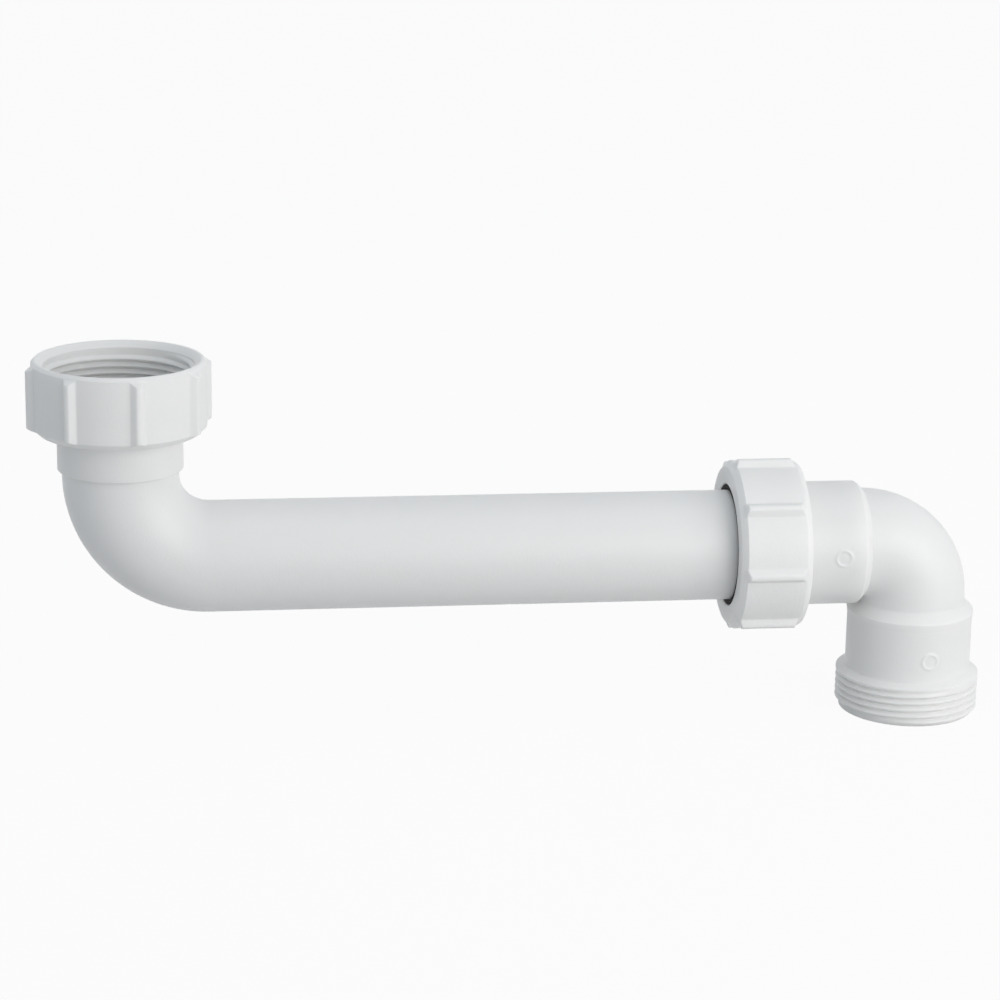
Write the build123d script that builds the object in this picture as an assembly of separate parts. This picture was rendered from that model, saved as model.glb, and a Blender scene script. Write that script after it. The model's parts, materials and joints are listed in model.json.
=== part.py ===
from build123d import *
import os

# Offset waste pipe with two ribbed nuts, in millimetres.
# The origin is the centre of the inlet washer's upper face, +Z points up out of the inlet,
# and +X runs along the straight pipe to the outlet.

# Pipe thread shared by both nuts, the compression socket and the outlet, made as plain cylinders
thread_wall = 5.4
thread_depth = 1.48
thread_play = 0.3
pass_play = 0.2

# Ribbed nuts
nut_height = 23.5
nut_wall = 3.8
nut_end_wall = 3.0
nut_end_chamfer = 2.0
nut_rim_chamfer = 0.8
nut_seat_step = 0.9
nut_relief_depth = 0.3
nut_relief_play = 0.5
rib_count = 8
rib_height = 2.1
rib_crest_width = 1.4
rib_base_width = 4.6
rib_margin = 1.5
rib_root = 0.9
inlet_rib_angle = 11.0
compression_rib_angle = 5.5

# Inlet washer and the leg of the pipe that hangs from the inlet nut
washer_thickness = 3.0
washer_width = 4.42
flange_thickness = 3.0
flange_play = 0.3
flange_overhang = 2.02
collar_drop = 12.4
collar_play = 0.3
leg_wall = 3.2

# Bend and straight pipe
pipe_radius = 18.2
pipe_wall = 2.2
bend_swell = 0.5
bend_inner_radius = 9.5
bend_lead = 2.2
pipe_end_gap = 4.0
pipe_end_chamfer = 1.0

# Compression joint
nut_hole_gap = 2.0
compression_end_wall = 2.0
slip_thickness = 1.5
slip_play = 0.3
spigot_play = 0.25
spigot_setback = 0.3
stack_play = 0.1
seal_play = 0.1
seal_thickness = 2.65
seal_nose_thickness = 0.75
seal_proud = 3.0
seal_back_length = 2.6
seal_cone_length = 5.4
seat_play = 0.15

# Elbow
outlet_offset = 263.5
elbow_bore_step = 0.4
elbow_wall = 2.4
elbow_crotch_radius = 0.3
socket_length = 39.0
socket_play = 0.3
socket_wall = 2.0
socket_thread_length = 15.0
socket_chamfer = 2.4
socket_stop_setback = 6.3
outlet_neck = 1.5
outlet_chamfer = 3.4
outlet_thread_step = 3.0
outlet_collar_length = 21.0
outlet_thread_length = 13.9
outlet_wall = 2.3

# Radii, worked outwards from the pipe to the thread and back to what passes through it
seal_bore_radius = pipe_radius + seal_play
socket_bore_radius = pipe_radius + socket_play
thread_radius = socket_bore_radius + thread_wall
nut_bore_radius = thread_radius + thread_play
nut_body_radius = nut_bore_radius + nut_wall
pass_radius = thread_radius - thread_depth - pass_play
washer_bore_radius = pass_radius - washer_width
collar_radius = pass_radius - flange_overhang
leg_bore_radius = collar_radius - leg_wall
bend_start_radius = pipe_radius + bend_swell
compression_hole_radius = pipe_radius + nut_hole_gap
elbow_bore_radius = pipe_radius - pipe_wall - elbow_bore_step
elbow_radius = elbow_bore_radius + elbow_wall
outlet_collar_radius = thread_radius - outlet_thread_step
outlet_bore_radius = outlet_collar_radius - outlet_wall

# Heights down the inlet leg
flange_top = -washer_thickness
flange_bottom = flange_top - flange_thickness
nut_floor = flange_bottom - flange_play
nut_bottom = nut_floor - nut_end_wall
collar_bottom = nut_bottom - collar_drop
leg_bottom = collar_bottom - bend_lead
bend_radius = bend_start_radius + bend_inner_radius
pipe_axis_z = leg_bottom - bend_radius

# Places along the pipe
elbow_bend_radius = elbow_radius + elbow_crotch_radius
socket_end_x = outlet_offset - elbow_bend_radius
socket_face_x = socket_end_x - socket_length
pipe_stop_x = socket_end_x - socket_stop_setback
pipe_end_x = pipe_stop_x - pipe_end_gap
seal_back_x = socket_face_x - seal_proud
slip_front_x = seal_back_x - stack_play
slip_back_x = slip_front_x - slip_thickness
compression_floor_x = slip_back_x - stack_play
compression_face_x = compression_floor_x - compression_end_wall
spigot_x = compression_face_x + spigot_setback

# Depths from a nut's floor: its plain seat stops short of the socket, its thread starts at the washer's top
nut_seat_depth = socket_face_x - compression_floor_x - nut_relief_play
nut_thread_start = -nut_floor

along_pipe = Pos(0, 0, pipe_axis_z) * Rot(0, 90, 0)


def turned(points):
    """Solid of revolution about Z from (radius, height) points."""
    return revolve(Plane.XZ * make_face(Polyline(*points, close=True)), Axis.Z)


def make_rib():
    """Tapered grip rib, standing along +X on the nut's wall."""
    spread = rib_root / rib_height
    side_slope = (rib_base_width - rib_crest_width) / 2
    base_width = rib_base_width + 2 * side_slope * spread
    base_length = nut_height - 2 * rib_margin + 2 * rib_root
    crest_length = nut_height - 2 * rib_margin - 2 * rib_height
    wall_side = Plane((nut_body_radius - rib_root, 0, nut_height / 2), x_dir=(0, 1, 0), z_dir=(1, 0, 0))
    base = wall_side * Rectangle(base_width, base_length)
    crest = wall_side.offset(rib_root + rib_height) * Rectangle(rib_crest_width, crest_length)
    return loft([base.face(), crest.face()], ruled=True)


def make_nut(end_wall, hole_radius, rib_angle):
    """Ribbed nut about Z, with its end wall at the bottom and its thread open at the top."""
    seat_radius = nut_bore_radius - nut_seat_step
    relief_bottom = end_wall + nut_seat_depth
    relief_top = end_wall + nut_thread_start
    relief_radius = nut_bore_radius + nut_relief_depth
    lead = thread_depth / 2
    body = turned(
        [
            (hole_radius, 0),
            (nut_body_radius - nut_end_chamfer, 0),
            (nut_body_radius, nut_end_chamfer),
            (nut_body_radius, nut_height - nut_rim_chamfer),
            (nut_body_radius - nut_rim_chamfer, nut_height),
            (nut_bore_radius + lead, nut_height),
            (nut_bore_radius, nut_height - lead),
            (nut_bore_radius, relief_top),
            (relief_radius, relief_top),
            (relief_radius, relief_bottom),
            (seat_radius, relief_bottom),
            (seat_radius, end_wall),
            (hole_radius, end_wall),
        ]
    )
    rib = make_rib()
    ribs = [Rot(0, 0, rib_angle + 360 / rib_count * turn) * rib for turn in range(rib_count)]
    return body + ribs


def make_inlet_nut():
    return Pos(0, 0, nut_bottom) * make_nut(nut_end_wall, collar_radius + collar_play, inlet_rib_angle)


def make_inlet_washer():
    return turned(
        [
            (washer_bore_radius, flange_top),
            (pass_radius, flange_top),
            (pass_radius, 0),
            (washer_bore_radius, 0),
        ]
    )


def make_offset_pipe():
    """Flanged leg, tapering bend and straight pipe, moulded in one."""
    leg = turned(
        [
            (leg_bore_radius, flange_top),
            (pass_radius, flange_top),
            (pass_radius, flange_bottom),
            (collar_radius, flange_bottom),
            (collar_radius, collar_bottom),
            (bend_start_radius, collar_bottom),
            (bend_start_radius, leg_bottom),
            (bend_start_radius - pipe_wall, leg_bottom),
            (leg_bore_radius, collar_bottom + collar_radius - bend_start_radius),
        ]
    )
    bend_path = Plane.XZ * CenterArc((bend_radius, leg_bottom), bend_radius, 180, 90)

    def bend_tube(start_radius, end_radius):
        start = Plane((0, 0, leg_bottom), z_dir=(0, 0, -1)) * Circle(start_radius)
        end = Plane((bend_radius, 0, pipe_axis_z), z_dir=(1, 0, 0)) * Circle(end_radius)
        return sweep([start, end], bend_path, multisection=True)

    bend = bend_tube(bend_start_radius, pipe_radius)
    bend -= bend_tube(bend_start_radius - pipe_wall, pipe_radius - pipe_wall)
    straight = along_pipe * turned(
        [
            (pipe_radius - pipe_wall, bend_radius),
            (pipe_radius, bend_radius),
            (pipe_radius, pipe_end_x - pipe_end_chamfer),
            (pipe_radius - pipe_end_chamfer, pipe_end_x),
            (pipe_radius - pipe_wall, pipe_end_x),
        ]
    )
    return leg + bend + straight


def make_compression_nut():
    nut = make_nut(compression_end_wall, compression_hole_radius, compression_rib_angle)
    return along_pipe * Pos(0, 0, compression_face_x) * nut


def make_slip_ring():
    """Flat ring behind the seal, with a short spigot that fills the nut's hole round the pipe."""
    inner = pipe_radius + slip_play
    spigot_radius = compression_hole_radius - spigot_play
    return along_pipe * turned(
        [
            (inner, spigot_x),
            (spigot_radius, spigot_x),
            (spigot_radius, slip_back_x),
            (pass_radius, slip_back_x),
            (pass_radius, slip_front_x),
            (inner, slip_front_x),
        ]
    )


def make_compression_seal():
    """Rubber ring with a plain back and a nose that tapers into the socket's mouth."""
    back_radius = seal_bore_radius + seal_thickness
    cone_x = seal_back_x + seal_back_length
    nose_x = cone_x + seal_cone_length
    return along_pipe * turned(
        [
            (seal_bore_radius, seal_back_x),
            (back_radius, seal_back_x),
            (back_radius, cone_x),
            (seal_bore_radius + seal_nose_thickness, nose_x),
            (seal_bore_radius, nose_x),
        ]
    )


def make_outlet_elbow():
    """Threaded socket, tight bend and threaded outlet, moulded in one."""
    seal_slope = (seal_thickness - seal_nose_thickness) / seal_cone_length
    cone_start = seal_back_x + seal_back_length
    mouth_radius = seal_bore_radius + seal_thickness + seat_play - seal_slope * (socket_face_x - cone_start)
    mouth_depth = (mouth_radius - socket_bore_radius) / seal_slope
    socket_radius = socket_bore_radius + socket_wall
    thread_lead = thread_depth / 2
    thread_end_x = socket_face_x + socket_thread_length
    shoulder_end_x = thread_end_x + (thread_radius - socket_radius) / 2
    socket = along_pipe * turned(
        [
            (mouth_radius, socket_face_x),
            (thread_radius - thread_lead, socket_face_x),
            (thread_radius, socket_face_x + thread_lead),
            (thread_radius, thread_end_x),
            (socket_radius, shoulder_end_x),
            (socket_radius, socket_end_x - socket_chamfer),
            (elbow_radius, socket_end_x),
            (elbow_bore_radius, socket_end_x),
            (elbow_bore_radius, pipe_stop_x),
            (socket_bore_radius, pipe_stop_x),
            (socket_bore_radius, socket_face_x + mouth_depth),
        ]
    )
    bend_section = Plane((socket_end_x, 0, pipe_axis_z), z_dir=(1, 0, 0)) * (
        Circle(elbow_radius) - Circle(elbow_bore_radius)
    )
    bend_axis = Axis((socket_end_x, 0, pipe_axis_z - elbow_bend_radius), (0, 1, 0))
    bend = revolve(bend_section, bend_axis, 90)
    collar_top = outlet_neck + outlet_chamfer
    thread_top = collar_top + outlet_collar_length
    outlet_end = thread_top + outlet_thread_length
    outlet = Pos(outlet_offset, 0, pipe_axis_z - elbow_bend_radius) * turned(
        [
            (elbow_bore_radius, 0),
            (elbow_radius, 0),
            (elbow_radius, -outlet_neck),
            (outlet_collar_radius, -collar_top),
            (outlet_collar_radius, -thread_top + thread_lead),
            (thread_radius, -thread_top - thread_lead),
            (thread_radius, -outlet_end + thread_depth),
            (thread_radius - thread_depth, -outlet_end),
            (outlet_bore_radius, -outlet_end),
            (outlet_bore_radius, -collar_top - outlet_wall),
        ]
    )
    return socket + bend + outlet


nodes = {
    "inlet_nut": make_inlet_nut(),
    "inlet_washer": make_inlet_washer(),
    "offset_pipe": make_offset_pipe(),
    "compression_nut": make_compression_nut(),
    "slip_ring": make_slip_ring(),
    "compression_seal": make_compression_seal(),
    "outlet_elbow": make_outlet_elbow(),
}

os.makedirs("parts", exist_ok=True)
for name, shape in nodes.items():
    export_step(shape, f"parts/{name}.step")
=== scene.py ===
# %% [markdown]
# # A white offset waste pipe
#
# This lesson dresses a plumber's offset pipe: a ribbed coupling nut, a bent pipe, a compression joint and a
# threaded elbow, all moulded in white plastic with a few black rings inside. The solids come from a CAD frame
# that already knows every size and every joint. Blender adds what the solids leave plain: cut threads, the
# soft edges of a moulding, the mould's faint marks, and the finish of plastic and rubber.

# %% Load the frame
import json
import math
import bpy
import numpy as np
from mathutils import Matrix, Vector


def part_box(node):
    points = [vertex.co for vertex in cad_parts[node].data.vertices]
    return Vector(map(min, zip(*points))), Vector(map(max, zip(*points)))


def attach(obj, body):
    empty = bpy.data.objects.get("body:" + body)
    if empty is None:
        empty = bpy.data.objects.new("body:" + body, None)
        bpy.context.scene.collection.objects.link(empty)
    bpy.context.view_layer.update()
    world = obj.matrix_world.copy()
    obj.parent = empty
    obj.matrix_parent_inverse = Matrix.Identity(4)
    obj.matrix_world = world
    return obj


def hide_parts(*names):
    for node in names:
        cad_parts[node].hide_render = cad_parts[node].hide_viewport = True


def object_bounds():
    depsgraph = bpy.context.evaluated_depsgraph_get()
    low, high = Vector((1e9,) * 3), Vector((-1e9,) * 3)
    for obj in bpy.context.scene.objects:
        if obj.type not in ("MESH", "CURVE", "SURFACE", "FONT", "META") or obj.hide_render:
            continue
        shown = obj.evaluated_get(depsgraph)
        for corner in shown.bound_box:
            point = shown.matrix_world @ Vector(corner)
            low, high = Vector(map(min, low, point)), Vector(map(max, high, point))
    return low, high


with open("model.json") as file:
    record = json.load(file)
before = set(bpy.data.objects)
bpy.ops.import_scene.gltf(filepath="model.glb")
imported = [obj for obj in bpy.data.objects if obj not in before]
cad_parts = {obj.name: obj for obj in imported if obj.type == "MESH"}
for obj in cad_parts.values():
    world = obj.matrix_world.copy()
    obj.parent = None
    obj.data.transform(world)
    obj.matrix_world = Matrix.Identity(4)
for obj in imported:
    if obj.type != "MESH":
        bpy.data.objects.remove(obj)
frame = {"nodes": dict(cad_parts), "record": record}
cad_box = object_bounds()
print("nodes:", sorted(frame["nodes"]))

# %% [markdown]
# ## Places taken from the frame
#
# Lengths are written in millimetres, as a fitting's drawing would give them, and become metres only when a
# mesh is made. The main places are read from the frame, so the dressed pieces sit where the solids are.

# %% Measure the frame
MM = 0.001
mounts = {mount["name"]: mount for mount in frame["record"]["mounts"]}


def box_mm(node):
    low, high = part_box(node)
    return low / MM, high / MM


ring_low, ring_high = box_mm("slip_ring")
pipe_axis_z = (ring_low.z + ring_high.z) / 2
outlet_x = mounts["outlet_thread"]["pos_m"][0] / MM
crest_radius = mounts["outlet_thread"]["dims"]["r_mm"]
nut_bore_radius = mounts["inlet_thread"]["dims"]["r_mm"]
print(f"pipe axis at z {pipe_axis_z:.2f} mm, outlet axis at x {outlet_x:.2f} mm")
print(f"thread {2 * crest_radius:.1f} mm over its crests, nut bore {2 * nut_bore_radius:.1f} mm")

# %% [markdown]
# ## Shader maths as plain Python
#
# A material is a graph of nodes, but most of its maths reads better as an expression. This small class wraps
# one output socket: adding or multiplying two of them adds the Math node for it. Every other node comes from
# the `node` method, which sets a node's options first and then fills or links its inputs.


# %% A socket that understands arithmetic
class Flow:
    def __init__(self, tree, socket=None):
        self.tree = tree
        self.socket = socket

    def node(self, kind, settings=None, inputs=None, out=0):
        made = self.tree.nodes.new(kind)
        for key, value in (settings or {}).items():
            setattr(made, key, value)
        for key, value in (inputs or {}).items():
            if isinstance(value, Flow):
                self.tree.links.new(value.socket, made.inputs[key])
            else:
                made.inputs[key].default_value = value
        return Flow(self.tree, made.outputs[out] if made.outputs else None)

    def maths(self, operation, first, second):
        return self.node("ShaderNodeMath", {"operation": operation}, {0: first, 1: second})

    def __add__(self, other):
        return self.maths("ADD", self, other)

    def __radd__(self, other):
        return self.maths("ADD", other, self)

    def __mul__(self, other):
        return self.maths("MULTIPLY", self, other)

    def __rmul__(self, other):
        return self.maths("MULTIPLY", other, self)


print("a Flow adds and multiplies sockets and numbers")

# %% [markdown]
# Three helpers are shared by the finishes: an empty material, a noise in the object's own coordinates, and a
# mix of two colours. A Mix node keeps a set of sockets for each kind of value, and 6, 7 and 2 are the colours'.


# %% Helpers for the finishes
def new_material(name):
    material = bpy.data.materials.new(name)
    material.use_nodes = True
    material.node_tree.nodes.clear()
    return material, Flow(material.node_tree)


def noise(flow, place, scale, detail):
    inputs = {"Vector": place, "Scale": scale, "Detail": detail, "Roughness": 0.55}
    return flow.node("ShaderNodeTexNoise", {}, inputs)


def colour_mix(flow, factor, first, second):
    return flow.node("ShaderNodeMix", {"data_type": "RGBA"}, {0: factor, 6: first, 7: second}, out=2)


print("helpers:", new_material.__name__, noise.__name__, colour_mix.__name__)

# %% [markdown]
# ## White moulded plastic
#
# The pipe, both nuts and the elbow are polypropylene: white, a little translucent, with a satin skin that the
# steel mould left behind. Three noises at three scales make it. A broad one drifts the white between two close
# shades, a middle one varies the gloss as the melt flowed, and a fine one is the eggshell texture, which goes
# through a Bump node. Translucency is one number for the whole surface, so it is set on the shader itself.

# %% White plastic
PLASTIC_DARKER = (0.866, 0.866, 0.862, 1.0)
PLASTIC_LIGHTER = (0.89, 0.89, 0.885, 1.0)
DRIFT_SCALE = 16.0
SHEEN_SCALE = 90.0
EGGSHELL_SCALE = 1500.0


def make_white_plastic():
    material, flow = new_material("satin_white_plastic")
    place = flow.node("ShaderNodeTexCoord", out="Object")
    drift = noise(flow, place, DRIFT_SCALE, 2.0)
    sheen = noise(flow, place, SHEEN_SCALE, 3.0)
    eggshell = noise(flow, place, EGGSHELL_SCALE, 2.0)
    relief = eggshell + 0.6 * sheen
    skin = flow.node("ShaderNodeBump", {}, {"Strength": 0.35, "Distance": 0.00015, "Height": relief})
    shader = flow.node(
        "ShaderNodeBsdfPrincipled",
        {"subsurface_method": "RANDOM_WALK"},
        {
            "Base Color": colour_mix(flow, drift, PLASTIC_DARKER, PLASTIC_LIGHTER),
            "Roughness": 0.33 + 0.16 * sheen,
            "IOR": 1.49,
            "Subsurface Weight": 0.45,
            "Subsurface Radius": (1.0, 0.95, 0.9),
            "Subsurface Scale": 0.0045,
            "Normal": skin,
        },
    )
    flow.node("ShaderNodeOutputMaterial", {}, {"Surface": shader})
    return material


white_plastic = make_white_plastic()
print(white_plastic.name, "has", len(white_plastic.node_tree.nodes), "nodes")

# %% [markdown]
# ## Black rubber and black plastic
#
# The seals are moulded rubber, dull and faintly mottled by a paler bloom. The thin ring that lets the nut turn
# without dragging the rubber is harder, blacker and a little shinier. One function makes both, since only their
# shade and gloss differ. The shapes of these rings are right in the solids, so the solids wear the finish.

# %% Black rings
BLOOM_SCALE = 220.0
GRAIN_SCALE = 2400.0


def make_black(name, shade, gloss):
    material, flow = new_material(name)
    place = flow.node("ShaderNodeTexCoord", out="Object")
    bloom = noise(flow, place, BLOOM_SCALE, 4.0)
    grain = noise(flow, place, GRAIN_SCALE, 2.0)
    dark = (shade, shade, shade * 1.06, 1.0)
    pale = (2.2 * shade, 2.2 * shade, 2.3 * shade, 1.0)
    skin = flow.node("ShaderNodeBump", {}, {"Strength": 0.4, "Distance": 0.0001, "Height": grain})
    shader = flow.node(
        "ShaderNodeBsdfPrincipled",
        {},
        {
            "Base Color": colour_mix(flow, bloom, dark, pale),
            "Roughness": gloss + 0.2 * bloom,
            "Specular IOR Level": 0.05,
            "Normal": skin,
        },
    )
    flow.node("ShaderNodeOutputMaterial", {}, {"Surface": shader})
    return material


black_rubber = make_black("seal_rubber", 0.011, 0.62)
black_plastic = make_black("hard_black_plastic", 0.004, 0.5)
for node, material in {
    "inlet_washer": black_rubber,
    "compression_seal": black_rubber,
    "slip_ring": black_plastic,
}.items():
    for slot in frame["nodes"][node].material_slots:
        slot.material = material
    print(node, "wears", [slot.material.name for slot in frame["nodes"][node].material_slots])

# %% [markdown]
# ## One skin for every moulding
#
# All four white pieces are tubes with a shaped wall. A Screw modifier could turn a nut, but not the bent
# pieces, and it can't cut a thread. So every piece is made in the same way: an outline of the wall, as points
# of (distance along the centre line, radius, swell), is carried round a path. The outline runs along the
# outside and back through the bore, so the mesh closes on itself. The swell is None or a function of the
# distance and the angles, which raises ribs or cuts the helix of a thread into the wall.


# %% Paths
def straight_path(origin, along, across):
    """Centre line that runs straight from origin, with its angle zero on the across side."""

    def place(distance):
        return origin + distance * along, across, np.cross(along, across)

    return place


def bent_path(start, along, outward, bend_start, bend_radius):
    """Centre line that runs along, then turns a right angle away from outward, then runs straight."""
    side = np.cross(along, outward)
    bend_length = bend_radius * math.pi / 2
    corner = start + bend_start * along

    def place(distance):
        turned = min(max(distance - bend_start, 0.0), bend_length) / bend_radius
        before = min(distance - bend_start, 0.0)
        after = max(distance - bend_start - bend_length, 0.0)
        heading = math.cos(turned) * along - math.sin(turned) * outward
        radial = math.cos(turned) * outward + math.sin(turned) * along
        centre = corner + before * along - bend_radius * outward + bend_radius * radial + after * heading
        return centre, radial, side

    return place


X_AXIS, _, Z_AXIS = np.eye(3)
print("a bend turns from", X_AXIS, "to", -Z_AXIS)

# %% [markdown]
# ## Rounding an outline
#
# A moulding has no knife edges. Each corner of an outline is written as (distance, radius, rounding), all in
# millimetres, and this helper swaps the corner for a short arc of that rounding. A corner with no rounding
# stays as it is; most of those only say where a neighbouring stretch begins, and are cut off the ends.

# %% Outlines with rounded corners
ARC_STEPS = 5


def rounded(corners):
    points = []
    count = len(corners)
    for index in range(count):
        before = np.array(corners[index - 1][:2])
        here = np.array(corners[index][:2])
        after = np.array(corners[(index + 1) % count][:2])
        rounding = corners[index][2]
        if rounding == 0:
            points.append((*here, None))
            continue
        to_before = (before - here) / np.linalg.norm(before - here)
        to_after = (after - here) / np.linalg.norm(after - here)
        half_angle = math.acos(np.clip(to_before @ to_after, -1, 1)) / 2
        inset = rounding / math.tan(half_angle)
        inward = (to_before + to_after) / np.linalg.norm(to_before + to_after)
        middle = here + inward * rounding / math.sin(half_angle)
        first = here + to_before * inset - middle
        last = here + to_after * inset - middle
        sweep = math.atan2(first[0] * last[1] - first[1] * last[0], first @ last)
        for step in range(ARC_STEPS + 1):
            turn = sweep * step / ARC_STEPS
            x = first[0] * math.cos(turn) - first[1] * math.sin(turn)
            y = first[0] * math.sin(turn) + first[1] * math.cos(turn)
            points.append((middle[0] + x, middle[1] + y, None))
    return points


print("a 1 mm corner becomes", len(rounded([(0, 0, 0), (9, 0, 1), (9, 9, 0)])) - 2, "points")

# %% [markdown]
# ## Carrying an outline round its path
#
# The skin is a grid: one ring of vertices for each outline point, one column for each angle. Quads join
# neighbouring rings, and the last ring joins the first, so the shell is closed.


# %% Shells
def grid_quads(rings, columns):
    grid = np.arange(rings * columns).reshape(rings, columns)
    next_ring, next_column = np.roll(grid, -1, axis=0), np.roll(grid, -1, axis=1)
    next_both = np.roll(next_ring, -1, axis=1)
    return np.stack([grid, next_column, next_both, next_ring], axis=-1).reshape(-1, 4)


def sweep_shell(path, outline, angles):
    rings = []
    cosines, sines = np.cos(angles), np.sin(angles)
    for distance, radius, swell in outline:
        centre, across, side = path(distance)
        radii = radius + (swell(distance, angles) if swell else np.zeros_like(angles))
        rings.append(centre + np.outer(radii * cosines, across) + np.outer(radii * sines, side))
    return np.concatenate(rings), grid_quads(len(outline), len(angles))


print("4 rings of 6 columns make", len(grid_quads(4, 6)), "quads")

# %% [markdown]
# A shell becomes a piece that moves with the body of its node and is shown instead of that node. Corners
# sharper than the crisp angle keep an edge, and the rest shades smoothly.

# %% Pieces
CRISP_ANGLE = 40


def add_piece(node, shell):
    points, quads = shell
    mesh = bpy.data.meshes.new(f"{node}_skin")
    mesh.from_pydata((points * MM).tolist(), [], quads.tolist())
    mesh.shade_smooth()
    mesh.set_sharp_from_angle(angle=math.radians(CRISP_ANGLE))
    mesh.materials.append(white_plastic)
    piece = bpy.data.objects.new(mesh.name, mesh)
    bpy.context.scene.collection.objects.link(piece)
    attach(piece, node)
    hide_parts(node)
    print(f"{piece.name}: {len(mesh.vertices)} points, {len(mesh.polygons)} faces")


print(f"corners over {CRISP_ANGLE} degrees stay crisp")

# %% [markdown]
# ## The thread
#
# A 1 1/2 inch pipe thread has 11 turns to the inch and a rounded profile. In the moulding it is one ridge wound
# round the wall: along any line parallel to the axis the wall rises and falls once a pitch, and going once
# round shifts that wave by one pitch. A cosine of (distance / pitch - angle) gives that. A power of it, the
# fullness, widens the ridge when it is below one. Rounding the same number tells which turn of the ridge is
# near, and so how far along the ridge a point lies. With that the ridge can end at one place on the circle,
# as it does where the mould was unscrewed, and the groove can start or run out at a shoulder in the same way.

# %% The thread's ridge
PITCH = 25.4 / 11
RUN_OUT = 0.14 * PITCH
FULL_TURN = 2 * math.pi


def fade(along, low, high):
    return np.clip((along - low) / RUN_OUT, 0, 1) * np.clip((high - along) / RUN_OUT, 0, 1)


def thread_height(distance, angles, ridge, groove, fullness):
    """Height of a right-hand ridge from 0 to 1; ridge and groove are where each lies along the axis."""
    turns = distance / PITCH - angles / FULL_TURN
    nearest = np.round(turns)
    wave = (0.5 + 0.5 * np.cos(FULL_TURN * (turns - nearest))) ** fullness
    wave = wave * fade((nearest + angles / FULL_TURN) * PITCH, *ridge)
    cut = fade((np.floor(turns) + 0.5 + angles / FULL_TURN) * PITCH, *groove)
    return 1 - cut * (1 - wave)


def groove_start(after, angle):
    """First place along the axis, beyond after, where a groove passes an angle in degrees."""
    turn = 0.5 + angle / 360
    return (math.ceil(after / PITCH - turn) + turn) * PITCH


print(f"pitch {PITCH:.3f} mm, run-out {RUN_OUT:.2f} mm")

# %% [markdown]
# A male thread is cut down from its crests and a female one stands in from its bore. The female ridges are half
# a pitch off, so that each lies in a groove of the male thread. The open threads have full ridges, and those of
# the compression joint are slimmer, which leaves them room to turn in one another.

# %% Threaded walls
THREAD_DEPTH = 1.48
RINGS_PER_PITCH = 12
OPEN_FULLNESS = 0.5
JOINT_FULLNESS = 0.85


def thread_stretch(start, end, swell, radius):
    """Outline points of a threaded wall, from start to end in either direction."""
    count = math.ceil(abs(end - start) / PITCH * RINGS_PER_PITCH)
    return [(distance, radius, swell) for distance in np.linspace(start, end, count + 1)]


def male_thread(start, end, ridge, groove, fullness):
    def swell(distance, angles):
        return THREAD_DEPTH * (thread_height(distance, angles, ridge, groove, fullness) - 1)

    return thread_stretch(start, end, swell, crest_radius)


def female_thread(start, end, ridge, fullness):
    everywhere = (-math.inf, math.inf)

    def swell(distance, angles):
        height = thread_height(distance + PITCH / 2, angles, ridge, everywhere, fullness)
        return -THREAD_DEPTH * height

    return thread_stretch(start, end, swell, nut_bore_radius)


print(f"thread {THREAD_DEPTH} mm deep, {RINGS_PER_PITCH} rings to a turn")

# %% [markdown]
# ## Ribbed nuts
#
# Both nuts are one design: a plain round wall with eight narrow grip ribs that slope at their sides and ends.
# The ribs are a swell of the outer wall, the lower of two ramps, one across the rib and one along it, with soft
# corners. The angles are bunched at the ribs, at shares of a flank counted from its foot, so the flanks stay
# crisp without a dense mesh on the plain panels.

# %% Ribs
RIB_COUNT = 8
RIB_SECTOR = FULL_TURN / RIB_COUNT
RIB_HEIGHT = 2.1
RIB_CREST_WIDTH = 1.4
RIB_BASE_WIDTH = 4.6
RIB_FLANK = (RIB_BASE_WIDTH - RIB_CREST_WIDTH) / 2
FLANK_SHARES = (-0.25, -0.12, 0.0, 0.12, 0.3, 0.5, 0.7, 0.88, 1.0, 1.12, 1.4)
RIB_END_MARGIN = 1.3
RIB_END_SLOPE = 1.2
RIB_SOFTNESS = 0.18
PANEL_COLUMNS = 14
NUT_WALL = 3.8
nut_radius = nut_bore_radius + NUT_WALL


def soft_ramp(value):
    """Ramp from 0 to 1 with its two corners rounded."""
    soft = RIB_SOFTNESS
    foot = (value + soft) ** 2 / (4 * soft)
    head = 1 - (1 + soft - value) ** 2 / (4 * soft)
    ramp = np.where(value < soft, foot, np.where(value > 1 - soft, head, value))
    return np.where(value < -soft, 0.0, np.where(value > 1 + soft, 1.0, ramp))


def nut_angles(first_rib):
    """Angles round a nut, bunched at each rib's crest and foot."""
    offsets = [RIB_BASE_WIDTH / 2 - share * RIB_FLANK for share in FLANK_SHARES]
    rib = sorted([offset / nut_radius for offset in offsets] + [-offset / nut_radius for offset in offsets])
    panel = np.linspace(rib[-1], RIB_SECTOR + rib[0], PANEL_COLUMNS + 2)[1:-1]
    one = np.concatenate([rib, panel])
    return np.concatenate([one + math.radians(first_rib) + turn * RIB_SECTOR for turn in range(RIB_COUNT)])


def rib_swell(low, high, first_rib, rim_margin):
    """Swell of the nut's outer wall between its two ends."""

    def swell(distance, angles):
        turned = (angles - math.radians(first_rib) + RIB_SECTOR / 2) % RIB_SECTOR - RIB_SECTOR / 2
        across = soft_ramp((RIB_BASE_WIDTH / 2 - np.abs(turned) * nut_radius) / RIB_FLANK)
        inset = min(distance - low - RIB_END_MARGIN, high - distance - rim_margin)
        lengthwise = soft_ramp(np.full_like(angles, inset / RIB_END_SLOPE))
        return RIB_HEIGHT * np.minimum(across, lengthwise)

    return swell


print(len(nut_angles(0.0)), "columns round a nut")

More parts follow.
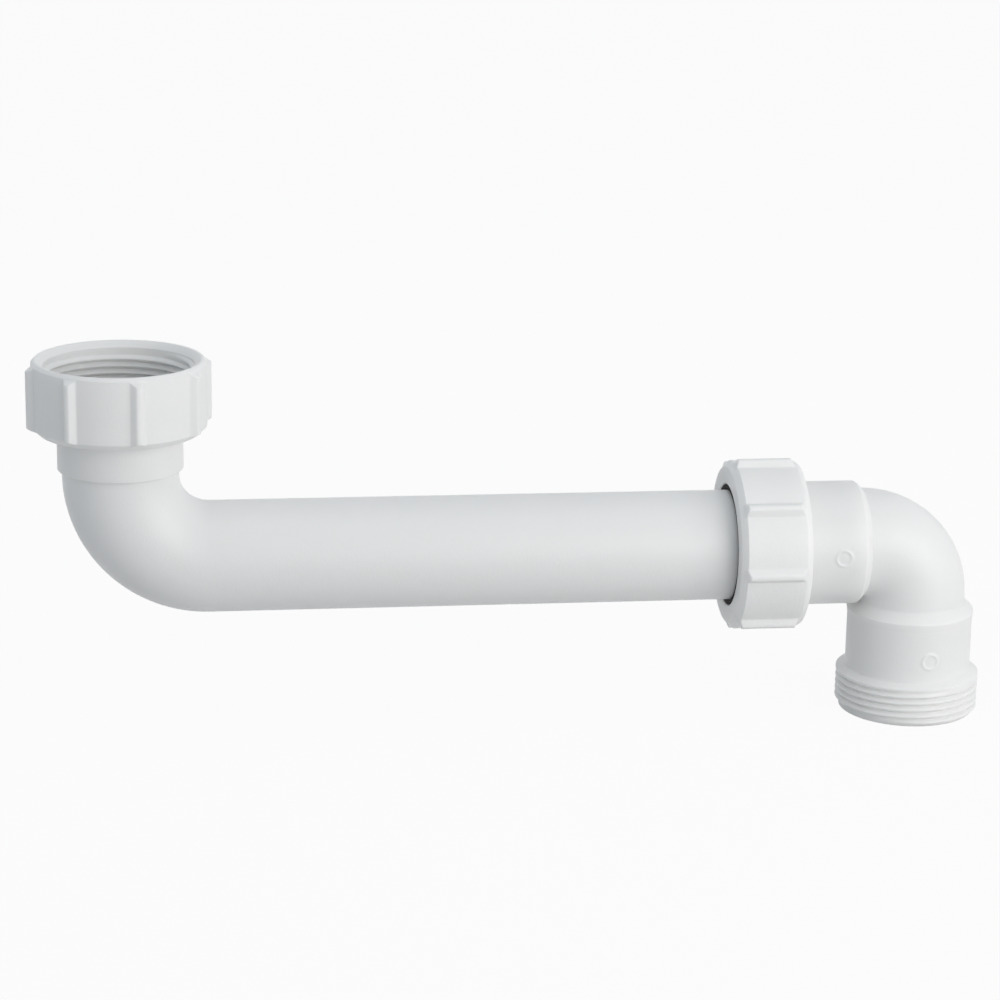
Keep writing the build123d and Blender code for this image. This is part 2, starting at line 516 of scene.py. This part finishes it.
# %% [markdown]
# The nut's outline starts inside at its end wall, goes out through the hole, climbs the ribbed outside, rolls
# over the rim and comes back down the thread to the plain seat. The closed end has a wider bevel than the rim,
# and the ribs begin on that bevel. Rings are packed where the ribs' ends slope.

# %% Nut
NUT_END_BEVEL = 2.0
NUT_RIM_BEVEL = 1.0
NUT_SEAT_STEP = 0.9
NUT_SEAT_DEPTH = 4.2
NUT_THREAD_START = 6.3
RAMP_RINGS = 13
RAMP_SPARE = 0.25


def nut_outline(low, high, end_wall, hole_radius, first_rib, rim_margin, lead, mouth, fullness):
    ribs = rib_swell(low, high, first_rib, rim_margin)
    end_wall_top = low + end_wall
    seat_radius = nut_bore_radius - NUT_SEAT_STEP
    end_face = rounded(
        [
            (end_wall_top, seat_radius, 0),
            (end_wall_top, hole_radius, 0.3),
            (low, hole_radius, 0.4),
            (low, nut_radius - NUT_END_BEVEL, 0.5),
            (low + NUT_END_BEVEL, nut_radius, 0),
        ]
    )[:-1]
    ramp = np.linspace(-RAMP_SPARE, 1 + RAMP_SPARE, RAMP_RINGS) * RIB_END_SLOPE
    wall = [low + NUT_END_BEVEL]
    wall += [low + RIB_END_MARGIN + step for step in ramp]
    wall += [high - rim_margin - step for step in ramp]
    outside = []
    for distance in sorted(wall):
        bevel = max(low + NUT_END_BEVEL - distance, 0)
        outside.append((distance, nut_radius - bevel, ribs))
    rim = rounded(
        [
            (high - NUT_RIM_BEVEL, nut_radius, 0),
            (high, nut_radius - NUT_RIM_BEVEL, 0.6),
            (high, nut_bore_radius + lead, 0.6),
            (high - lead, nut_bore_radius, 0),
        ]
    )[1:-1]
    thread_bottom = end_wall_top + NUT_THREAD_START
    ridge = (thread_bottom + PITCH / 2, high - mouth)
    thread = female_thread(high - lead, thread_bottom, ridge, fullness)
    seat_top = end_wall_top + NUT_SEAT_DEPTH
    seat = [(seat_top, nut_bore_radius, None), (seat_top, seat_radius, None)]
    return end_face + outside + rim + thread + seat


def make_nut(node, path, first_rib, **nut_sizes):
    outline = nut_outline(first_rib=first_rib, **nut_sizes)
    add_piece(node, sweep_shell(path, outline, nut_angles(first_rib)))


print(f"nut {2 * nut_radius:.1f} mm over its wall, {2 * (nut_radius + RIB_HEIGHT):.1f} mm over its ribs")

# %% [markdown]
# ### Inlet nut
#
# It stands on the inlet's axis with its thread open to the top, and hangs on the pipe's hidden flange. Its
# mouth has a wide lead-in, and the ribs come close to the rim.

# %% Inlet nut
INLET_END_WALL = 3.0
INLET_HOLE_RADIUS = 20.5
INLET_FIRST_RIB = 11.0
INLET_RIM_MARGIN = 1.3
INLET_LEAD = 2.0
INLET_MOUTH = 2.3

inlet_nut_low, inlet_nut_high = box_mm("inlet_nut")
make_nut(
    "inlet_nut",
    straight_path(np.zeros(3), Z_AXIS, X_AXIS),
    INLET_FIRST_RIB,
    low=inlet_nut_low.z,
    high=inlet_nut_high.z,
    end_wall=INLET_END_WALL,
    hole_radius=INLET_HOLE_RADIUS,
    rim_margin=INLET_RIM_MARGIN,
    lead=INLET_LEAD,
    mouth=INLET_MOUTH,
    fullness=OPEN_FULLNESS,
)

# %% [markdown]
# ### Compression nut
#
# It lies on the pipe's axis with its end wall towards the inlet. Its hole is wider than the pipe and its end
# wall is thin, so the black ring behind it shows as a dark line all round.

# %% Compression nut
JOINT_END_WALL = 2.0
JOINT_HOLE_RADIUS = 20.2
JOINT_FIRST_RIB = 5.5
JOINT_RIM_MARGIN = 2.2
JOINT_LEAD = 1.1
JOINT_MOUTH = 2.6

joint_nut_low, joint_nut_high = box_mm("compression_nut")
pipe_line = np.array([0.0, 0.0, pipe_axis_z])
make_nut(
    "compression_nut",
    straight_path(pipe_line, X_AXIS, Z_AXIS),
    JOINT_FIRST_RIB,
    low=joint_nut_low.x,
    high=joint_nut_high.x,
    end_wall=JOINT_END_WALL,
    hole_radius=JOINT_HOLE_RADIUS,
    rim_margin=JOINT_RIM_MARGIN,
    lead=JOINT_LEAD,
    mouth=JOINT_MOUTH,
    fullness=JOINT_FULLNESS,
)

# %% [markdown]
# ## The mould's parting line
#
# A steel mould in two halves leaves a faint raised line where they met, along the inside and the outside of a
# bend. It is a swell that stands only near two angles, so a few columns are added beside those.

# %% Mould line
MOULD_LINE_HEIGHT = 0.07
MOULD_LINE_WIDTH = 0.35
LINE_COLUMNS = np.array([-1.6, -1.0, -0.5, 0.5, 1.0, 1.6])


def mould_line(radius):
    """Swell of the fine ridge where the mould's halves met, on both sides of the bend's plane."""

    def swell(distance, angles):
        offset = radius * np.sin(angles) / MOULD_LINE_WIDTH
        return MOULD_LINE_HEIGHT * np.exp(-(offset**2))

    return swell


def tube_angles(radius, columns):
    """Even angles round a tube, with a few more beside the mould line."""
    even = np.linspace(0, FULL_TURN, columns, endpoint=False)
    beside = LINE_COLUMNS * MOULD_LINE_WIDTH / radius
    return np.unique(np.round(np.concatenate([even, beside, math.pi + beside]) % FULL_TURN, 6))


print(f"the mould's line is {MOULD_LINE_HEIGHT} mm high")

# %% [markdown]
# ## The offset pipe
#
# One moulding: the flange inside the nut, a thick collar, a bend that narrows slightly, and a long plain pipe.
# Its distance is measured down the leg from the inlet, round the bend and along the pipe.

# %% Places along the pipe
FLANGE_THICKNESS = 3.0
COLLAR_DROP = 12.4
LEG_BORE_RISE = 2.0
BEND_LEAD = 2.2
BEND_START_RADIUS = 18.7
BEND_RADIUS = 28.2
PIPE_RADIUS = 18.2

pipe_high = box_mm("offset_pipe")[1]
flange_top = -pipe_high.z
flange_bottom = flange_top + FLANGE_THICKNESS
collar_bottom = COLLAR_DROP - inlet_nut_low.z
leg_bore_end = collar_bottom - LEG_BORE_RISE
leg_bottom = collar_bottom + BEND_LEAD
bend_end = leg_bottom + BEND_RADIUS * math.pi / 2
pipe_end = bend_end + pipe_high.x - BEND_RADIUS


def bend_radius_at(distance):
    share = min(max((distance - leg_bottom) / (bend_end - leg_bottom), 0.0), 1.0)
    return BEND_START_RADIUS + (PIPE_RADIUS - BEND_START_RADIUS) * share


print(f"bend from {leg_bottom:.1f} to {bend_end:.1f} mm, pipe's end at {pipe_end:.1f} mm")

# %% [markdown]
# The outline goes over the flange and the collar, round the bend, out to the bevelled end, and back inside.

# %% Offset pipe
FLANGE_RADIUS = 22.22
COLLAR_RADIUS = 20.2
LEG_BORE_RADIUS = 17.0
PIPE_WALL = 2.2
PIPE_END_BEVEL = 1.0
PIPE_COLUMNS = 144
BEND_RINGS = 40

pipe_head = rounded(
    [
        (leg_bore_end, LEG_BORE_RADIUS, 0),
        (flange_top, LEG_BORE_RADIUS, 0.3),
        (flange_top, FLANGE_RADIUS, 0.3),
        (flange_bottom, FLANGE_RADIUS, 0.3),
        (flange_bottom, COLLAR_RADIUS, 0.2),
        (collar_bottom, COLLAR_RADIUS, 0.35),
        (collar_bottom, BEND_START_RADIUS, 0.3),
        (leg_bottom, BEND_START_RADIUS, 0),
    ]
)[1:-1]
bend_distances = np.linspace(leg_bottom, bend_end, BEND_RINGS + 1)
pipe_mould_line = mould_line(PIPE_RADIUS)
pipe_outside = [(distance, bend_radius_at(distance), pipe_mould_line) for distance in bend_distances]
pipe_tail = rounded(
    [
        (bend_end, PIPE_RADIUS, 0),
        (pipe_end - PIPE_END_BEVEL, PIPE_RADIUS, 0.3),
        (pipe_end, PIPE_RADIUS - PIPE_END_BEVEL, 0.3),
        (pipe_end, PIPE_RADIUS - PIPE_WALL, 0.3),
        (bend_end, PIPE_RADIUS - PIPE_WALL, 0),
    ]
)[1:-1]
pipe_inside = [(distance, bend_radius_at(distance) - PIPE_WALL, None) for distance in reversed(bend_distances)]
leg_bore = [(leg_bore_end, LEG_BORE_RADIUS, None)]
pipe_outline = pipe_head + pipe_outside + pipe_tail + pipe_inside + leg_bore
pipe_path = bent_path(np.zeros(3), -Z_AXIS, -X_AXIS, leg_bottom, BEND_RADIUS)
add_piece("offset_pipe", sweep_shell(pipe_path, pipe_outline, tube_angles(PIPE_RADIUS, PIPE_COLUMNS)))

# %% [markdown]
# ## Raised marks
#
# Two small raised rings stand on the elbow's collars, the kind of mark that a mould maker cuts to tell one
# cavity from another. Small rings of their own could be laid on the wall, but light gets lost where two skins
# overlap. So a ring is a swell as well: its height depends on the distance from a circle drawn on the unrolled
# wall. The wall gets closer rings and columns there, so that the fine bead has enough faces.

# %% Raised marks
MARK_RADIUS = 2.55
MARK_REACH = 3.9
MARK_RINGS = 30
MARK_COLUMNS = 42
MARKED_ANGLES = (72.7, 99.3)
BEAD_WIDTH = 0.45
BEAD_HEIGHT = 0.34


def add_mark(outline, place, angle, wall_radius):
    """Outline with a raised ring on its straight wall, at a place along it and an angle in degrees."""

    def swell(distance, angles):
        around = (angles - math.radians(angle)) * wall_radius
        beside = np.hypot(distance - place, around) - MARK_RADIUS
        return BEAD_HEIGHT * np.exp(-((beside / BEAD_WIDTH) ** 2))

    rings = np.linspace(place - MARK_REACH, place + MARK_REACH, MARK_RINGS)
    before = [point for point in outline if point[0] < place]
    after = [point for point in outline if point[0] > place]
    return before + [(distance, wall_radius, swell) for distance in rings] + after


def marked_angles(angles):
    """The same angles, with closer ones across the marks."""
    low, high = np.radians(MARKED_ANGLES)
    elsewhere = angles[(angles < low) | (angles > high)]
    return np.sort(np.concatenate([elsewhere, np.linspace(low, high, MARK_COLUMNS)]))


print(f"a mark is {2 * MARK_RADIUS:.1f} mm across and {BEAD_HEIGHT} mm high")

# %% [markdown]
# ## The outlet elbow
#
# Also one moulding: a threaded socket under the compression nut, its collar, a tight bend with a sharp inner
# corner, the outlet's collar and the outlet's thread. Distance runs along the pipe's axis, round the bend and
# down. It starts as a list of the places where one stretch ends and the next begins.

# %% Places along the elbow
SOCKET_THREAD_LENGTH = 15.0
SOCKET_STOP_SETBACK = 6.3
ELBOW_BEND_RADIUS = 18.3
OUTLET_NECK = 1.5
OUTLET_BEVEL = 3.4
OUTLET_COLLAR_LENGTH = 21.0

elbow_low = box_mm("outlet_elbow")[0]
socket_face = elbow_low.x
socket_thread_end = socket_face + SOCKET_THREAD_LENGTH
socket_end = outlet_x - ELBOW_BEND_RADIUS
stop = socket_end - SOCKET_STOP_SETBACK
elbow_end = socket_end + ELBOW_BEND_RADIUS * math.pi / 2
collar_top = elbow_end + OUTLET_NECK + OUTLET_BEVEL
outlet_thread_top = collar_top + OUTLET_COLLAR_LENGTH
outlet_end = elbow_end + pipe_axis_z - ELBOW_BEND_RADIUS - elbow_low.z
print(f"socket from {socket_face:.1f} to {socket_end:.1f} mm, outlet's end at {outlet_end:.1f} mm")

# %% [markdown]
# The socket's lip is as low as the thread's root, so that the nut can start on it. Its groove runs to the
# thread's end, where a short cone leads down to the collar.

# %% Socket
SOCKET_RADIUS = 20.5
SOCKET_BORE_RADIUS = 18.5
SOCKET_MOUTH_RADIUS = 20.96
SOCKET_MOUTH_DEPTH = 7.0
SOCKET_BEVEL = 2.4
SOCKET_MARK_PLACE = 235.0
SOCKET_MARK_ANGLE = 89.0
THREAD_LEAD = 0.74
ELBOW_RADIUS = 18.0

socket_mouth = rounded(
    [
        (socket_face + SOCKET_MOUTH_DEPTH, SOCKET_BORE_RADIUS, 0),
        (socket_face, SOCKET_MOUTH_RADIUS, 0.2),
        (socket_face, crest_radius - THREAD_DEPTH, 0.2),
        (socket_face + THREAD_DEPTH, crest_radius, 0),
    ]
)[:-1]
socket_thread = male_thread(
    socket_face + THREAD_LEAD,
    socket_thread_end,
    ridge=(socket_face + PITCH / 2, math.inf),
    groove=(-math.inf, socket_thread_end),
    fullness=JOINT_FULLNESS,
)
socket_collar = rounded(
    [
        (socket_thread_end, crest_radius, 0),
        (socket_thread_end + (crest_radius - SOCKET_RADIUS) / 2, SOCKET_RADIUS, 0.8),
        (socket_end - SOCKET_BEVEL, SOCKET_RADIUS, 0.9),
        (socket_end, ELBOW_RADIUS, 0),
    ]
)[1:-1]
socket_collar = add_mark(socket_collar, SOCKET_MARK_PLACE, SOCKET_MARK_ANGLE, SOCKET_RADIUS)
print("socket outline has", len(socket_mouth + socket_thread + socket_collar), "points")

# %% [markdown]
# Past the bend the wall widens over a bevel to the outlet's collar, which has a faint lip at its top. The
# thread begins in a plain shoulder, and its groove starts there at one angle.

# %% Bend and outlet
OUTLET_COLLAR_RADIUS = 20.9
OUTLET_LIP = 0.35
OUTLET_LIP_LENGTH = 2.6
OUTLET_MARK_PLACE = 291.8
OUTLET_MARK_ANGLE = 84.0
OUTLET_GROOVE_ANGLE = 65.0

elbow_distances = np.linspace(socket_end, elbow_end, BEND_RINGS + 1)
elbow_mould_line = mould_line(ELBOW_RADIUS)
elbow_outside = [(distance, ELBOW_RADIUS, elbow_mould_line) for distance in elbow_distances]
outlet_collar = rounded(
    [
        (elbow_end, ELBOW_RADIUS, 0),
        (elbow_end + OUTLET_NECK, ELBOW_RADIUS, 1.2),
        (collar_top, OUTLET_COLLAR_RADIUS + OUTLET_LIP, 0.6),
        (collar_top + OUTLET_LIP_LENGTH, OUTLET_COLLAR_RADIUS, 1.5),
        (outlet_thread_top - THREAD_LEAD, OUTLET_COLLAR_RADIUS, 0.6),
        (outlet_thread_top + THREAD_LEAD, crest_radius, 0),
    ]
)[1:-1]
outlet_collar = add_mark(outlet_collar, OUTLET_MARK_PLACE, OUTLET_MARK_ANGLE, OUTLET_COLLAR_RADIUS)
outlet_thread = male_thread(
    outlet_thread_top + THREAD_LEAD,
    outlet_end - THREAD_DEPTH,
    ridge=(-math.inf, outlet_end - PITCH / 2),
    groove=(groove_start(outlet_thread_top + PITCH / 2, OUTLET_GROOVE_ANGLE), math.inf),
    fullness=OPEN_FULLNESS,
)
print("outlet outline has", len(outlet_collar + outlet_thread), "points")

# %% [markdown]
# Inside, the outlet's wide bore narrows to the bend's, and a step in the socket stops the pipe. Then the
# stretches are joined in order and carried round the bent path.

# %% Outlet elbow
ELBOW_BORE_RADIUS = 15.6
OUTLET_BORE_RADIUS = 18.6
OUTLET_WALL = 2.3
ELBOW_COLUMNS = 176

outlet_mouth = rounded(
    [
        (outlet_end - THREAD_DEPTH, crest_radius, 0),
        (outlet_end, crest_radius - THREAD_DEPTH, 0.3),
        (outlet_end, OUTLET_BORE_RADIUS, 0.4),
        (collar_top + OUTLET_WALL, OUTLET_BORE_RADIUS, 1.5),
        (elbow_end, ELBOW_BORE_RADIUS, 0),
    ]
)[1:-1]
elbow_inside = [(distance, ELBOW_BORE_RADIUS, None) for distance in reversed(elbow_distances)]
socket_bore = rounded(
    [
        (socket_end, ELBOW_BORE_RADIUS, 0),
        (stop, ELBOW_BORE_RADIUS, 0.3),
        (stop, SOCKET_BORE_RADIUS, 0.2),
        (socket_face + SOCKET_MOUTH_DEPTH, SOCKET_BORE_RADIUS, 0),
    ]
)[1:-1]
elbow_outline = (
    socket_mouth + socket_thread + socket_collar + elbow_outside
    + outlet_collar + outlet_thread + outlet_mouth + elbow_inside + socket_bore
)
elbow_path = bent_path(pipe_line, X_AXIS, Z_AXIS, socket_end, ELBOW_BEND_RADIUS)
elbow_angles = marked_angles(tube_angles(ELBOW_RADIUS, ELBOW_COLUMNS))
add_piece("outlet_elbow", sweep_shell(elbow_path, elbow_outline, elbow_angles))

# %% [markdown]
# ## Floor
#
# The photograph is a catalogue cut-out on pure white. The floor is pale and matt; seen by the camera it is
# mostly an even white, with a little of the real lit floor mixed in so that a soft shadow stays. It lies a
# hair below the outlet's end, so that the two faces don't fight for the same place.

# %% Floor
FLOOR_SIZE = 12.0
FLOOR_SHADE = (0.66, 0.66, 0.66, 1.0)
FLOOR_WHITENESS = 0.94
FLOOR_GAP = 0.0002
PURE_WHITE = (1.0, 1.0, 1.0, 1.0)
DIRECT_RAYS = ("Is Camera Ray", "Is Glossy Ray", "Is Transmission Ray")


def seen_directly(flow):
    """One for rays that show the background itself, straight, in a reflection or through glass."""
    rays = [flow.node("ShaderNodeLightPath", out=kind) for kind in DIRECT_RAYS]
    return rays[0] + rays[1] + rays[2]


def make_floor():
    material, flow = new_material("pale_floor")
    matt = flow.node("ShaderNodeBsdfDiffuse", {}, {"Color": FLOOR_SHADE})
    white = flow.node("ShaderNodeEmission", {}, {"Color": PURE_WHITE, "Strength": 1.0})
    whiteness = FLOOR_WHITENESS * seen_directly(flow)
    shader = flow.node("ShaderNodeMixShader", {}, {0: whiteness, 1: matt, 2: white})
    flow.node("ShaderNodeOutputMaterial", {}, {"Surface": shader})
    half = FLOOR_SIZE / 2
    corners = [(-half, -half, 0), (half, -half, 0), (half, half, 0), (-half, half, 0)]
    mesh = bpy.data.meshes.new("floor")
    mesh.from_pydata(corners, [], [(0, 1, 2, 3)])
    mesh.materials.append(material)
    floor = bpy.data.objects.new("floor", mesh)
    floor.location.z = cad_box[0].z - FLOOR_GAP
    bpy.context.scene.collection.objects.link(floor)
    return floor


floor = make_floor()
print("floor at z", round(floor.location.z, 4))

# %% [markdown]
# ## Surround
#
# A studio's walls and ceiling throw light back from all sides. An even, slightly cool world does that, and
# shows as plain white where it is seen itself.

# %% Surround
SURROUND = (0.91, 0.96, 1.0, 1.0)
SURROUND_STRENGTH = 0.545


def make_world():
    world = bpy.data.worlds.new("soft_surround")
    world.use_nodes = True
    world.node_tree.nodes.clear()
    flow = Flow(world.node_tree)
    even = flow.node("ShaderNodeBackground", {}, {"Color": SURROUND, "Strength": SURROUND_STRENGTH})
    white = flow.node("ShaderNodeBackground", {}, {"Color": PURE_WHITE, "Strength": 1.0})
    shader = flow.node("ShaderNodeMixShader", {}, {0: seen_directly(flow), 1: even, 2: white})
    flow.node("ShaderNodeOutputWorld", {}, {"Surface": shader})
    return world


bpy.context.scene.world = make_world()
print("surround:", bpy.context.scene.world.name)

# %% [markdown]
# ## Lamps
#
# The shading in the photograph comes from one broad soft box in front on the right, with a weaker one above.
# Both are round area lamps, a little warm, and both point at the spot that the camera looks at.

# %% Lamps
aim = Vector((0.1234, 0.0, -0.0352))


def direction(azimuth, elevation):
    """Unit vector from the object towards an azimuth from the front and an elevation, in degrees."""
    around, above = math.radians(azimuth), math.radians(elevation)
    flat = math.cos(above)
    return Vector((math.sin(around) * flat, -math.cos(around) * flat, math.sin(above)))


def soft_box(name, azimuth, elevation, distance, size, watts, colour):
    lamp = bpy.data.lights.new(name, "AREA")
    lamp.shape = "DISK"
    lamp.size = size
    lamp.energy = watts
    lamp.color = colour
    lamp_object = bpy.data.objects.new(name, lamp)
    back = direction(azimuth, elevation)
    lamp_object.location = aim + distance * back
    lamp_object.rotation_euler = back.to_track_quat("Z", "Y").to_euler()
    lamp_object.visible_camera = False
    bpy.context.scene.collection.objects.link(lamp_object)
    print(f"{name}: {watts} W, {size} m across")


soft_box(
    "front_soft_box", azimuth=40, elevation=11, distance=1.05, size=1.1, watts=6.9, colour=(1.0, 0.97, 0.94)
)
soft_box(
    "top_soft_box", azimuth=-10, elevation=80, distance=1.6, size=1.2, watts=1.6, colour=(1.0, 0.98, 0.96)
)

# %% [markdown]
# ## Camera
#
# The photograph was taken from about a metre away with a long lens, from the front, a little to the left and
# looking down. The angles were found by fitting the outline of the solids to the photograph.

# %% Camera
CAMERA_AZIMUTH = -7.75
CAMERA_ELEVATION = 15.86
CAMERA_ROLL = 0.99
CAMERA_DISTANCE = 1.035
FOCAL_PIXELS = 3155.0
IMAGE_PIXELS = 1000.0
SENSOR = 36.0

camera_data = bpy.data.cameras.new("camera")
camera_data.sensor_fit = "HORIZONTAL"
camera_data.sensor_width = SENSOR
camera_data.lens = SENSOR * FOCAL_PIXELS / IMAGE_PIXELS
camera = bpy.data.objects.new("camera", camera_data)
bpy.context.scene.collection.objects.link(camera)
back = direction(CAMERA_AZIMUTH, CAMERA_ELEVATION)
level = Vector((math.cos(math.radians(CAMERA_AZIMUTH)), math.sin(math.radians(CAMERA_AZIMUTH)), 0.0))
turn = Matrix((level, back.cross(level), back)).transposed().to_4x4()
tilt = Matrix.Rotation(math.radians(CAMERA_ROLL), 4, "Z")
camera.matrix_world = Matrix.Translation(aim + CAMERA_DISTANCE * back) @ turn @ tilt
bpy.context.scene.camera = camera
bpy.context.scene.view_settings.view_transform = "Standard"
print(f"lens {camera_data.lens:.1f} mm")
